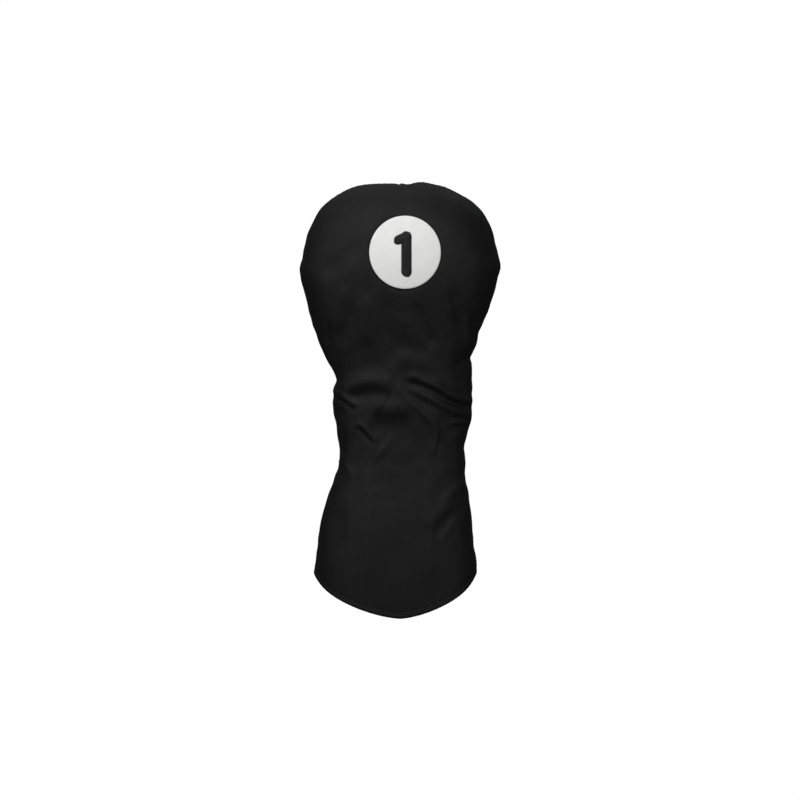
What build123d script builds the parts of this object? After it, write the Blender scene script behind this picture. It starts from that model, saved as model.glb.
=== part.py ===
from build123d import *
from functools import cache
import math
import os

# Driver head cover: a padded nylon sock that pulls over a golf driver's head. A front and a back panel
# meet in one seam that runs up one side, over the crown and down the other side. Foam pads the crown,
# fleece lines the whole cover, and two elastics gather the back of the neck. A round badge with a
# raised numeral sits on the crown's front.
#
# Millimetres, +Z up. The front looks along -Y and the seam lies in the plane y = 0. The origin is the
# centre of the mouth, level with the lowest point of the hem.

os.makedirs("parts", exist_ok=True)

# Outer form: its side outline, turned round Z and then squashed front to back.
HEIGHT = 340.0
CROWN_HALF_WIDTH = 78.2
CROWN_Z = 274.0
SLEEVE_HALF_WIDTH = 63.5
DEPTH_RATIO = 0.56
DOME_POWER = 2.35
DOME_STEPS = 8
SKIRT_Z = -8.0
FLANK = [
    (SLEEVE_HALF_WIDTH, SKIRT_Z),
    (SLEEVE_HALF_WIDTH, 30.0),
    (62.0, 50.0),
    (59.0, 76.0),
    (54.0, 97.0),
    (49.6, 115.0),
    (48.4, 129.0),
    (50.5, 145.0),
    (54.2, 165.0),
    (54.0, 176.0),
    (52.6, 188.0),
    (56.2, 200.0),
    (62.1, 218.0),
    (69.6, 237.0),
    (74.6, 255.6),
    (CROWN_HALF_WIDTH, CROWN_Z),
]
MEAN_HALF_WIDTH = 60.0
SIDE_SAMPLES = 24

# Hem: lowest at the middle of each panel, highest at the side seams.
HEM_RISE = 37.0
HEM_POWER = 0.7
HEM_STEPS = 24

# Layers, from the outside in. The fleece hangs clear of the panels in the sleeve, where the hem's
# facings and the elastics lie between the two.
LAYER_GAP = 0.1
SHELL = 0.8
PADDING = 2.9
LINING = 2.5
FACING = 0.7
ELASTIC = 1.0
UNDER_SHELL = SHELL + LAYER_GAP
SLEEVE_LINING_INSET = UNDER_SHELL + ELASTIC + LAYER_GAP
CROWN_LINING_INSET = UNDER_SHELL + PADDING + LAYER_GAP
PADDING_LOW_Z = 200.0
LINING_LEDGE = 3.0
FACING_WIDTH = 22.0
LINING_HEM_OVERLAP = 4.0
SEAM_GAP = 0.7
UPPER_ELASTIC_Z = (183.0, 195.0)
LOWER_ELASTIC_Z = (122.0, 134.0)

# Badge on the front of the crown.
BADGE_X = 3.9
BADGE_Z = 285.7
BADGE_RADIUS = 28.4
BADGE_THICKNESS = 1.1
BOND_THICKNESS = 0.15
BOND_MARGIN = 0.6
NUMERAL_HEIGHT = 0.7
NUMERAL_STEM_X = 1.3
NUMERAL_STEM_HALF_WIDTH = 4.0
NUMERAL_TOP = 16.3
NUMERAL_BOTTOM = -19.3
NUMERAL_FLAG_HALF_WIDTH = 3.65
NUMERAL_FLAG = [(1.0, 12.6), (-5.0, 9.8)]

# Threads.
THREAD_RADIUS = 0.2
THREAD_CLEARANCE = 0.1
TOPSTITCH_ABOVE_HEM = 4.0
TOPSTITCH_PITCH = 3.2
TOPSTITCH_LENGTH = 2.6
SEAM_PITCH = 4.0
SEAM_STITCH_LENGTH = 3.2
ZIGZAG_PITCH = 2.0
ZIGZAG_REACH = 1.2
TACK_RADIUS = 1.0

BEYOND = 120.0  # further out than the cover reaches in any direction sideways
ABOVE = 400.0  # higher than the cover


def side_outline():
    """The outer form's half outline in the seam plane, from below the hem up to the crown's top."""
    points = [Vector(width, 0, z) for width, z in FLANK]
    rise = HEIGHT - CROWN_Z
    power = 2 / DOME_POWER
    for step in range(1, DOME_STEPS):
        angle = math.pi / 2 * step / DOME_STEPS
        width = CROWN_HALF_WIDTH * math.cos(angle) ** power
        points.append(Vector(width, 0, CROWN_Z + rise * math.sin(angle) ** power))
    points.append(Vector(0, 0, HEIGHT))
    return Spline(points, tangents=[(0, 0, 1), (-1, 0, 0)])


SIDE = side_outline()


def inset_outline(inset):
    """The side outline moved inwards along its own normals, or outwards where inset is negative."""
    points = []
    for step in range(SIDE_SAMPLES + 1):
        share = step / SIDE_SAMPLES
        along = SIDE % share
        points.append(SIDE @ share - inset * Vector(along.Z, 0, -along.X))
    points[-1] = Vector(0, 0, HEIGHT - inset)
    return Spline(points, tangents=[(0, 0, 1), (-1, 0, 0)])


def squash(inset):
    """Depth over width of the form with an inset."""
    return (DEPTH_RATIO * MEAN_HALF_WIDTH - inset) / (MEAN_HALF_WIDTH - inset)


@cache
def form(inset):
    """The whole cover as one filled solid, smaller than the outer form by inset all round."""
    outline = inset_outline(inset)
    foot = Vector(0, 0, SKIRT_Z)
    face = make_face([outline, Line(outline @ 1, foot), Line(foot, outline @ 0)])
    return scale(revolve(face, axis=Axis.Z), by=(1, squash(inset), 1)).solid()


def slab(low_z, high_z):
    """Everything between two heights."""
    return Pos(0, 0, (low_z + high_z) / 2) * Box(2 * BEYOND, 2 * BEYOND, high_z - low_z)


def front_half(gap=0.0):
    """Everything in front of the seam plane, less half of a gap along it."""
    return Pos(0, -BEYOND - gap / 2, ABOVE / 2) * Box(2 * BEYOND, 2 * BEYOND, 2 * ABOVE)


def back_half(gap=0.0):
    """Everything behind the seam plane, less half of a gap along it."""
    return Pos(0, BEYOND + gap / 2, ABOVE / 2) * Box(2 * BEYOND, 2 * BEYOND, 2 * ABOVE)


def hem_height(x):
    """Height of the hem at a distance x from the middle of a panel."""
    share = min(abs(x) / SLEEVE_HALF_WIDTH, 1.0)
    return HEM_RISE * (1 - (1 - share**2) ** HEM_POWER)


@cache
def above_hem(offset):
    """Everything higher than the hem line raised by offset."""
    points = []
    for step in range(HEM_STEPS + 1):
        x = -SLEEVE_HALF_WIDTH * math.cos(math.pi * step / HEM_STEPS)
        points.append(Vector(x, 0, hem_height(x) + offset))
    side_z = HEM_RISE + offset
    frame = Polyline(
        points[-1],
        (BEYOND, 0, side_z),
        (BEYOND, 0, ABOVE),
        (-BEYOND, 0, ABOVE),
        (-BEYOND, 0, side_z),
        points[0],
    )
    face = make_face([Spline(points), *frame.edges()])
    return extrude(face, amount=BEYOND, dir=(0, 1, 0), both=True)


def halves(ring, gap=0.0):
    """A ring cut at the seam plane into its front piece and its back piece."""
    return (ring & front_half(gap)).solid(), (ring & back_half(gap)).solid()


# Places on the forms, for threads.

OUTSIDE = inset_outline(0.0)


def half_width(z):
    """Half width of the outer form at height z, searched for along the outline it is made from."""
    low, high = 0.0, 1.0
    for _ in range(30):
        middle = (low + high) / 2
        if (OUTSIDE @ middle).Z < z:
            low = middle
        else:
            high = middle
    return (OUTSIDE @ low).X


def on_surface(angle, z, inset):
    """A point at height z, an angle round from +X, on the form with an inset."""
    reach = half_width(z) - inset
    return Vector(reach * math.cos(angle), squash(inset) * reach * math.sin(angle), z)


def along_hem(angle, above, inset):
    """A point on the form with an inset that follows the hem line at a height above it."""
    z = above
    for _ in range(12):
        z = hem_height(half_width(z) * math.cos(angle)) + above
    return on_surface(angle, z, inset)


def stitch(start, end, radius):
    """One straight length of thread."""
    along = end - start
    return Solid.make_cylinder(radius, along.length, Plane(origin=start, z_dir=along))


def running_stitches(path, pitch, length, radius):
    """Straight stitches of one length along a line of close points."""
    line = Polyline(path)
    count = int(line.length / pitch)
    margin = (line.length - (count - 1) * pitch - length) / 2
    made = []
    for step in range(count):
        start = (margin + step * pitch) / line.length
        end = start + length / line.length
        made.append(stitch(line @ start, line @ end, radius))
    return made


# The pieces, from the outside in.


def panels():
    """The two nylon panels that make the outside."""
    return halves((form(0.0) & above_hem(0.0)) - form(SHELL))


def layer(inset, thickness, zone):
    """A closed layer under the outer form, cut to a zone."""
    return (form(inset) & zone) - form(inset + thickness)


def paddings():
    """The foam that fills out the crown, down to the upper waist."""
    ring = layer(UNDER_SHELL, PADDING, slab(PADDING_LOW_Z, ABOVE))
    return halves(ring - tack_hole(), SEAM_GAP)


def elastic(low_z, high_z):
    """A flat elastic on the inside of the back panel."""
    ring = layer(UNDER_SHELL, ELASTIC, slab(low_z, high_z))
    return (ring & back_half(SEAM_GAP)).solid()


def facings():
    """The nylon strips that face the inside of the hem."""
    ring = layer(UNDER_SHELL, FACING, above_hem(0.0))
    return halves(ring - above_hem(FACING_WIDTH), SEAM_GAP)


def linings():
    """The fleece: under the foam in the crown, and joined by a ledge to the wider sleeve below it."""
    outside = form(SLEEVE_LINING_INSET) & slab(2 * SKIRT_Z, PADDING_LOW_Z - LAYER_GAP)
    outside += form(CROWN_LINING_INSET) & slab(PADDING_LOW_Z - LINING_LEDGE, ABOVE)
    inside = form(SLEEVE_LINING_INSET + LINING) & slab(2 * SKIRT_Z, PADDING_LOW_Z - LINING_LEDGE)
    inside += form(CROWN_LINING_INSET + LINING) & slab(PADDING_LOW_Z - 2 * LINING_LEDGE, ABOVE)
    ring = (outside & above_hem(FACING_WIDTH - LINING_HEM_OVERLAP)) - inside
    return halves(ring - tack_hole(), SEAM_GAP)


def badge_layer(outline, low, high):
    """A piece of the badge: its outline on the crown's front, between two heights off the panel."""
    prism = extrude(Plane.XZ * Pos(BADGE_X, BADGE_Z) * outline, amount=BEYOND)
    return ((form(-high) - form(-low)) & prism).solid()


def numeral():
    """Outline of the numeral: a round-ended stem with a short flag to its left."""
    radius = NUMERAL_STEM_HALF_WIDTH
    ends = [(NUMERAL_STEM_X, NUMERAL_BOTTOM + radius), (NUMERAL_STEM_X, NUMERAL_TOP - radius)]
    return round_bar(ends, radius) + round_bar(NUMERAL_FLAG, NUMERAL_FLAG_HALF_WIDTH)


def round_bar(ends, radius):
    """A bar with round ends, centred on a straight line."""
    (start_x, start_y), (end_x, end_y) = ends
    length = math.hypot(end_x - start_x, end_y - start_y)
    turn = math.degrees(math.atan2(end_y - start_y, end_x - start_x))
    middle = Pos((start_x + end_x) / 2, (start_y + end_y) / 2)
    return middle * Rot(0, 0, turn) * SlotCenterToCenter(length, 2 * radius)


def tack_hole():
    """Room for the tack that holds the foam and the lining to the crown's top."""
    return Pos(0, 0, HEIGHT) * Cylinder(TACK_RADIUS + LAYER_GAP, HEIGHT / 10)


def crown_tack():
    """The thread tack itself, through the foam and the lining up to the panels."""
    length = CROWN_LINING_INSET + LINING - SHELL
    return Pos(0, 0, HEIGHT - SHELL - length / 2) * Cylinder(TACK_RADIUS, length)


# The threads.


def topstitch(side):
    """The visible row along the hem of one panel; side is -1 at the front, 1 at the back."""
    inset = -(THREAD_RADIUS + THREAD_CLEARANCE)
    angles = [side * math.pi * step / 180 for step in range(2, 179)]
    path = [along_hem(angle, TOPSTITCH_ABOVE_HEM, inset) for angle in angles]
    return running_stitches(path, TOPSTITCH_PITCH, TOPSTITCH_LENGTH, THREAD_RADIUS)


def lining_hem_stitches():
    """The row on the fleece's inner face that holds it to the hem's facings."""
    above = FACING_WIDTH - LINING_HEM_OVERLAP / 2
    inset = SLEEVE_LINING_INSET + LINING + THREAD_RADIUS + THREAD_CLEARANCE
    made = []
    for side in (-1, 1):
        angles = [side * math.pi * step / 180 for step in range(3, 178)]
        path = [along_hem(angle, above, inset) for angle in angles]
        made += running_stitches(path, SEAM_PITCH, SEAM_STITCH_LENGTH, THREAD_RADIUS)
    return made


def seam_stitches(outline, low_z, high_z):
    """Hidden rows along the seam on both sides, following an outline and clear of the tack."""
    points = [outline @ (step / 200) for step in range(201)]
    right = [point for point in points if low_z < point.Z < high_z and point.X > 2 * TACK_RADIUS]
    left = [Vector(-point.X, 0, point.Z) for point in right]
    made = []
    for path in (right, left):
        made += running_stitches(path, SEAM_PITCH, SEAM_STITCH_LENGTH, THREAD_RADIUS)
    return made


def shell_seam():
    """Stitches that close the panels' seam, just under the nylon."""
    inset = SHELL + THREAD_RADIUS + THREAD_CLEARANCE
    return seam_stitches(inset_outline(inset), HEM_RISE, HEIGHT)


def lining_seam():
    """Stitches that close the fleece's seam, in the middle of its thickness, above and below the ledge."""
    crown = seam_stitches(inset_outline(CROWN_LINING_INSET + LINING / 2), PADDING_LOW_Z, HEIGHT)
    lowest = HEM_RISE + FACING_WIDTH
    highest = PADDING_LOW_Z - LINING_LEDGE
    sleeve = seam_stitches(inset_outline(SLEEVE_LINING_INSET + LINING / 2), lowest, highest)
    return crown + sleeve


def zigzag(edge_heights):
    """Zigzag rows on the outside of the back panel, one along each edge of an elastic."""
    inset = -(THREAD_RADIUS + THREAD_CLEARANCE)
    made = []
    for edge_z in edge_heights:
        half_turn = on_surface(0, edge_z, 0).X * math.pi * (1 + DEPTH_RATIO) / 2
        count = int(half_turn / ZIGZAG_PITCH)
        for step in range(2, count - 2):
            swing = ZIGZAG_REACH if step % 2 else -ZIGZAG_REACH
            start = on_surface(math.pi * step / count, edge_z - swing, inset)
            end = on_surface(math.pi * (step + 1) / count, edge_z + swing, inset)
            made.append(stitch(start, end, THREAD_RADIUS))
    return made


def save(name, pieces):
    """Write one node's STEP file."""
    shape = Compound(pieces) if isinstance(pieces, list) else pieces
    export_step(shape, f"parts/{name}.step")


def build():
    front_panel, back_panel = panels()
    front_padding, back_padding = paddings()
    upper_elastic = elastic(*UPPER_ELASTIC_Z)
    lower_elastic = elastic(*LOWER_ELASTIC_Z)
    front_facing, back_facing = facings()
    front_lining, back_lining = linings()
    save("front_panel", front_panel)
    save("back_panel", back_panel)
    save("front_padding", front_padding)
    save("back_padding", back_padding)
    save("front_lining", front_lining)
    save("back_lining", back_lining)
    save("upper_neck_elastic", upper_elastic)
    save("lower_neck_elastic", lower_elastic)
    save("front_hem_facing", front_facing)
    save("back_hem_facing", back_facing)

    badge_top = BOND_THICKNESS + BADGE_THICKNESS
    save("badge_bond_film", badge_layer(Circle(BADGE_RADIUS - BOND_MARGIN), 0.0, BOND_THICKNESS))
    save("badge_disc", badge_layer(Circle(BADGE_RADIUS), BOND_THICKNESS, badge_top))
    save("badge_numeral", badge_layer(numeral(), badge_top, badge_top + NUMERAL_HEIGHT))

    save("crown_tack", crown_tack())
    save("front_hem_topstitch", topstitch(-1))
    save("back_hem_topstitch", topstitch(1))
    save("lining_hem_thread", lining_hem_stitches())
    save("shell_seam_thread", shell_seam())
    save("lining_seam_thread", lining_seam())
    save("upper_elastic_zigzag", zigzag(UPPER_ELASTIC_Z))
    save("lower_elastic_zigzag", zigzag(LOWER_ELASTIC_Z))


build()
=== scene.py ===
import math

import bmesh
import bpy
import numpy as np
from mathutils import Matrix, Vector


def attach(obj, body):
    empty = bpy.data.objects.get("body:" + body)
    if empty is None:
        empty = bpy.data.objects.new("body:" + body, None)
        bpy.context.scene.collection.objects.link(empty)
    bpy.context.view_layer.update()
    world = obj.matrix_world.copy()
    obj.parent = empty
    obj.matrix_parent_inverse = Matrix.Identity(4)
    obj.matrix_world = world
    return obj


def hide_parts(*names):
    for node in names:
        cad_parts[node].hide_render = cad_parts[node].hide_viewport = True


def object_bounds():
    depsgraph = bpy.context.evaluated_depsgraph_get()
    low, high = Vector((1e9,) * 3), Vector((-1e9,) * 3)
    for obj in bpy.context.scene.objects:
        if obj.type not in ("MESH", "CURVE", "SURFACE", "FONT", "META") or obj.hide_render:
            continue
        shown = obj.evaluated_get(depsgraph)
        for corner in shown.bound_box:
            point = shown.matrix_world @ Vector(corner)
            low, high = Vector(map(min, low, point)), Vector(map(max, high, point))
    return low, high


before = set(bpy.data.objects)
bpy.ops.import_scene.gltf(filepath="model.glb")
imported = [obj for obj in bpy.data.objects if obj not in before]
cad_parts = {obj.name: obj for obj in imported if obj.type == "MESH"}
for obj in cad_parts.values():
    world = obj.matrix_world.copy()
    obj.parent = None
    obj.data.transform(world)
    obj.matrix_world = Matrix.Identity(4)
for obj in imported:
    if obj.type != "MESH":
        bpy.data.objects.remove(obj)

CAD_LOW, CAD_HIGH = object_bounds()

# Driver head cover, drawn in units of which the CAD cover is 340 tall. They are its millimetres, and
# UNIT turns them into metres. The front looks along -Y, and the seam lies near the plane y = 0.
TALL = 340.0
UNIT = (CAD_HIGH.z - CAD_LOW.z) / TALL

# Both edges of the cover as the front shows them: (height, left edge, right edge).
OUTLINE = [
    (-8, -66.4, 58.8), (20, -67.0, 59.2), (35, -67.2, 59.9), (45, -65.9, 59.9), (54, -64.9, 58.2),
    (68, -63.2, 56.9), (82, -60.2, 55.7), (92, -57.0, 54.0), (101, -53.9, 53.0), (110, -50.8, 51.1),
    (120, -47.7, 51.5), (127, -47.6, 51.3), (134, -47.6, 50.1), (143, -49.7, 52.8), (152, -50.7, 55.4),
    (162, -52.8, 56.2), (171, -52.7, 56.2), (177, -52.4, 56.4), (181, -51.2, 56.4), (185, -49.6, 56.2),
    (190, -51.0, 56.2), (195, -53.3, 56.1), (199, -55.6, 55.8), (203, -57.6, 54.7), (207, -59.5, 56.5),
    (213, -62.3, 59.4), (218, -64.2, 60.5), (223, -66.2, 61.5), (228, -68.0, 63.6), (237, -70.8, 67.8),
    (246, -72.9, 71.2), (256, -75.2, 74.2), (265, -77.8, 76.4), (272.5, -78.6, 78.5), (279, -76.8, 77.8),
    (288, -75.2, 75.5), (298, -72.6, 73.0), (307, -69.0, 70.4), (316.5, -63.9, 65.0), (321, -60.2, 60.8),
    (326, -54.7, 55.2), (330.5, -48.2, 47.4), (335.2, -39.4, 38.0), (338.0, -29.0, 31.0),
]
APEX = (5.0, 339.4)
DEPTH_RATIO = 0.56
SECTION_POWER = 1.10  # over 1 draws the section to a slight point at the seam
ROWS = 300
COLUMNS = 320

# The hem rises from the middle of each panel to the side seams.
HEM_RISE = 36.0
HEM_SPREAD, HEM_POWER = 1.5, 0.56
HEM_LOWEST = 0.3  # where along the front it reaches lowest
HEM_WIDTH_AT = 20.0  # the height at which the cover's width sets how far the hem spreads
HEM_ROLL = 0.5  # the rounded edge under each panel's lowest row
HEM_SAMPLES = 800  # points along the hem of one panel
LEVEL_FROM = 120.0  # rows slope with the hem below this height

# Layers, each from its outer face's inset.
SHELL = 0.8
FACING_INSET, FACING = 0.9, 0.7
ELASTIC_INSET, ELASTIC = 0.9, 1.0
PADDING_INSET, PADDING = 0.95, 2.8
LINING = 2.5
SLEEVE_LINING_INSET = 2.0
CROWN_LINING_INSET = 3.9
PADDING_LOW = 200.0
FACING_WIDTH = 22.0
LINING_ABOVE_HEM = 18.0
UPPER_ELASTIC = (183.0, 195.0)
LOWER_ELASTIC = (122.0, 134.0)

BADGE_X, BADGE_Z = 3.9, 284.6
BADGE_HALF_WIDTH, BADGE_HALF_HEIGHT = 27.75, 28.4
BADGE_SIDES = 144
FILM_HIGH, BADGE_HIGH = 0.15, 1.25  # how far the film and the badge stand off the crown
SHORTEST_SATIN = 0.5  # half length of the shortest satin stitch

# Threads: radii, then how the stitches lie.
TOPSTITCH_RADIUS, LINING_HEM_RADIUS, SEAM_RADIUS = 0.23, 0.22, 0.2
ZIGZAG_RADIUS, TACK_RADIUS, SATIN_RADIUS = 0.21, 0.26, 0.22
TOPSTITCH = 4.0  # height of the row above the hem
TOPSTITCH_PITCH, TOPSTITCH_LENGTH = 3.2, 2.75
TOPSTITCH_LIFT, TOPSTITCH_SINK = 0.16, 0.28  # over the cloth, and into it at the holes
LINING_STITCH_EVERY, LINING_STITCH_SPAN, LINING_STITCH_STEP = 16, 12, 3  # in hem samples
SHELL_SEAM_INSET = 1.15
SEAM_PITCH = 3.2  # in rows
ZIGZAG_STITCHES = 60
ZIGZAG_SWING = 1.15
ZIGZAG_MARGIN = 7  # columns between the side seams and the first stitch
TACK_THREADS, TACK_REACH = 7, 0.55
TACK_DEPTHS = (1.0, 2.5, 4.5, 6.6)
SATIN_PITCH = 0.36


# ---- Small sums ----


def ease(t):
    """0 below 0, 1 above 1 and smooth between."""
    t = np.clip(t, 0.0, 1.0)
    return t * t * (3 - 2 * t)


def bell(distance, width):
    """1 at no distance, nothing a few widths away."""
    return np.exp(-((distance / width) ** 2))


def rounded(points, steps=12):
    """A smooth line through points, with centripetal spacing so that it doesn't overshoot."""
    points = np.asarray(points, float)
    padded = np.vstack([2 * points[0] - points[1], points, 2 * points[-1] - points[-2]])
    made = []
    for a, b, c, d in zip(padded, padded[1:], padded[2:], padded[3:]):
        gaps = [max(np.linalg.norm(q - p), 1e-6) ** 0.5 for p, q in ((a, b), (b, c), (c, d))]
        t0, t1, t2, t3 = np.cumsum([0.0] + gaps)
        for t in np.linspace(t1, t2, steps, endpoint=False):
            ab = a + (b - a) * (t - t0) / (t1 - t0)
            bc = b + (c - b) * (t - t1) / (t2 - t1)
            cd = c + (d - c) * (t - t2) / (t3 - t2)
            abc = ab + (bc - ab) * (t - t0) / (t2 - t0)
            bcd = bc + (cd - bc) * (t - t1) / (t3 - t1)
            made.append(abc + (bcd - abc) * (t - t1) / (t2 - t1))
    made.append(points[-1])
    return np.array(made)


def spaced(line, count):
    """A count of points evenly spaced along a line."""
    run = np.concatenate([[0], np.cumsum(np.linalg.norm(np.diff(line, axis=0), axis=1))])
    even = np.linspace(0, run[-1], count)
    return np.column_stack([np.interp(even, run, line[:, k]) for k in range(line.shape[1])])


# ---- The cover's form ----

LEFT = rounded([(left, z) for z, left, _ in OUTLINE] + [APEX])
RIGHT = rounded([(right, z) for z, _, right in OUTLINE] + [APEX])


def edges(z):
    """The left and right edges at heights z."""
    return np.interp(z, LEFT[:, 1], LEFT[:, 0]), np.interp(z, RIGHT[:, 1], RIGHT[:, 0])


def mean_outline():
    """Half of the front's width at each height, from the hem to the crown's top."""
    z = np.unique(np.concatenate([[0.0], LEFT[:, 1], RIGHT[:, 1]]))
    z = z[z >= 0]
    left, right = edges(z)
    return spaced(np.column_stack([(right - left) / 2, z]), ROWS)


ROW_HEIGHTS = mean_outline()[:, 1]


def softened(reach, blur=9.0):
    """Distances from the crown's top, one for each row, without the notches and corners of the seams."""
    span = int(3 * blur)
    spread = np.exp(-0.5 * (np.arange(-span, span + 1) / blur) ** 2)
    padded = np.concatenate([np.full(span, reach[0]), reach, -reach[-2 : -span - 2 : -1]])
    return np.convolve(padded, spread / spread.sum(), mode="valid")


ROW_LEFT, ROW_RIGHT = edges(ROW_HEIGHTS)
SOFT_LEFT = APEX[0] + softened(ROW_LEFT - APEX[0])
SOFT_RIGHT = APEX[0] + softened(ROW_RIGHT - APEX[0])
DEPTHS = DEPTH_RATIO * (SOFT_RIGHT - SOFT_LEFT) / 2


def section(z, angle):
    """Points on the plain form, with no folds, at heights z and angles round from +X."""
    left, right = edges(z)
    soft_left = np.interp(z, ROW_HEIGHTS, SOFT_LEFT)
    soft_right = np.interp(z, ROW_HEIGHTS, SOFT_RIGHT)
    middle, half = (soft_left + soft_right) / 2, (soft_right - soft_left) / 2
    depth = np.interp(z, ROW_HEIGHTS, DEPTHS)
    wave, turn = np.sin(angle), np.cos(angle)
    at_seam = np.abs(turn) ** 8 * np.where(turn > 0, right - soft_right, left - soft_left)
    y = depth * np.sign(wave) * np.abs(wave) ** SECTION_POWER
    return middle + half * turn + at_seam, y


def hem_rise(angle):
    """Height of the hem at angles round from +X."""
    left, right = edges(HEM_WIDTH_AT)
    x, _y = section(HEM_WIDTH_AT, angle)
    reach = np.where(x < HEM_LOWEST, left - HEM_LOWEST, right - HEM_LOWEST)
    share = np.clip((x - HEM_LOWEST) / reach, 0, 1)
    return HEM_RISE * (1 - (1 - share**HEM_SPREAD) ** HEM_POWER)


def plain_form():
    """The plain form as a grid of rows and columns; column 0 is the right seam, then the back."""
    level = ROW_HEIGHTS
    angle = np.linspace(0, 2 * math.pi, COLUMNS + 1)
    level, angle = np.meshgrid(level, angle, indexing="ij")
    share = np.clip(1 - level / LEVEL_FROM, 0, 1)
    z = level + (hem_rise(angle) + HEM_ROLL) * share
    x, y = section(z, angle)
    return np.stack([x, y, z], axis=-1), level, angle


def normals(grid):
    """Unit outward normals of a closed grid whose last row is its top."""
    around = np.gradient(grid, axis=1)
    around[:, 0] = around[:, -1] = (grid[:, 1] - grid[:, -2]) / 2
    up = np.gradient(grid, axis=0)
    out = np.cross(around, up)
    length = np.linalg.norm(out, axis=-1, keepdims=True)
    out = out / np.maximum(length, 1e-9)
    out[-3:] = (0, 0, 1)
    return out


BASE, LEVEL, ANGLE = plain_form()
OUTWARD = normals(BASE)
X, Y, Z = BASE[..., 0], BASE[..., 1], BASE[..., 2]
FRONT = Y < 0


# ---- Folds ----


def near_line(points, x, z):
    """Each place's distance from a line, positive on its left, and its share of the line's run."""
    line = rounded(points, 5)
    lengths = np.linalg.norm(np.diff(line, axis=0), axis=1)
    run = np.concatenate([[0], np.cumsum(lengths)])
    best, along, side = np.full(x.shape, 1e9), np.zeros(x.shape), np.ones(x.shape)
    for start, end, length, before in zip(line, line[1:], lengths, run):
        ux, uz = (end - start) / length
        dx, dz = x - start[0], z - start[1]
        t = np.clip(dx * ux + dz * uz, 0, length)
        distance = np.hypot(dx - t * ux, dz - t * uz)
        closer = distance < best
        best = np.where(closer, distance, best)
        along = np.where(closer, (before + t) / run[-1], along)
        side = np.where(closer, np.sign(ux * dz - uz * dx), side)
    return best * side, along


def ridge(points, height, width, taper=0.3):
    """A rounded ridge along a line, or a valley if height is negative."""
    distance, along = near_line(points, X, Z)
    return height * bell(distance, width) * ease(along / taper) * ease((1 - along) / taper)


def tuck(points, height, width, taper=0.3):
    """Cloth that bulges over a line drawn from left to right, and sinks in just below it."""
    distance, along = near_line(points, X, Z)
    roll = 2.33 * distance / width * bell(distance, width)
    return height * roll * ease(along / taper) * ease((1 - along) / taper)


def front_folds():
    """The folds across the neck, from the right-hand crease to the sleeve's right edge."""
    d = tuck([(2, 185), (8, 185.5), (16, 183), (27, 178), (38, 171.5), (47, 168), (60, 166)], 1.9, 4.2, 0.15)
    d += tuck([(2, 180), (12, 174.5), (24, 168.5), (36, 163), (48, 158.5), (58, 157)], 1.2, 4.6, 0.25)
    crease = [(0, 191), (-1, 184), (0, 177), (9, 168), (21, 157), (28, 146), (26, 133), (20, 118)]
    d += ridge(crease, 1.3, 2.6, 0.2)
    d += tuck([(-46, 171), (-35, 176.5), (-23, 179), (-12, 178), (-4, 179)], 2.1, 8.0, 0.2)
    d += ridge([(-11, 194), (-9, 184), (-10, 176), (-16, 165), (-21, 156)], 1.3, 2.4, 0.25)
    d += tuck([(-56, 175), (-50, 174), (-44, 171), (-37, 166), (-32, 163)], 1.4, 3.2, 0.2)
    d += tuck([(-56, 167), (-46, 165), (-34, 162)], 1.1, 6.5, 0.25)
    d += tuck([(-24, 160), (-14, 158), (-2, 156), (12, 158)], 1.8, 12.0, 0.25)
    d += tuck([(28, 160), (41, 156), (57, 154)], 0.9, 7.0, 0.25)
    d += tuck([(-36, 151), (-30, 148), (-24, 141), (-18, 135)], 1.0, 2.8, 0.3)
    d += ridge([(-6, 146), (-8, 139), (-14, 130), (-22, 121)], 0.8, 2.6, 0.3)
    d += ridge([(-46, 131), (-43, 122), (-37, 108)], 0.9, 2.8, 0.3)
    d += tuck([(38, 150.5), (45, 150.5), (56, 150)], 1.0, 2.2, 0.3)
    d += ridge([(54, 110), (42, 99), (30, 90)], 1.1, 3.4, 0.3)
    d += tuck([(22, 64), (33, 78), (50, 92)], 1.2, 7.5, 0.35)
    d += ridge([(47, 82), (39, 71), (30, 59)], 0.8, 3.2, 0.3)
    return d


def sleeve_folds():
    """Long soft folds that hang down the sleeve."""
    d = ridge([(-26, 122), (-25, 90), (-25, 60), (-23, 14)], 0.9, 5.0, 0.25)
    d += ridge([(20, 122), (22, 92), (22, 60), (23, 16)], 0.9, 5.0, 0.25)
    d += ridge([(-2, 116), (-2, 70), (-1, 24)], -0.9, 10.0, 0.3)
    d += ridge([(-48, 92), (-50, 70), (-51, 46)], -1.0, 8.0, 0.35)
    return d


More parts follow.
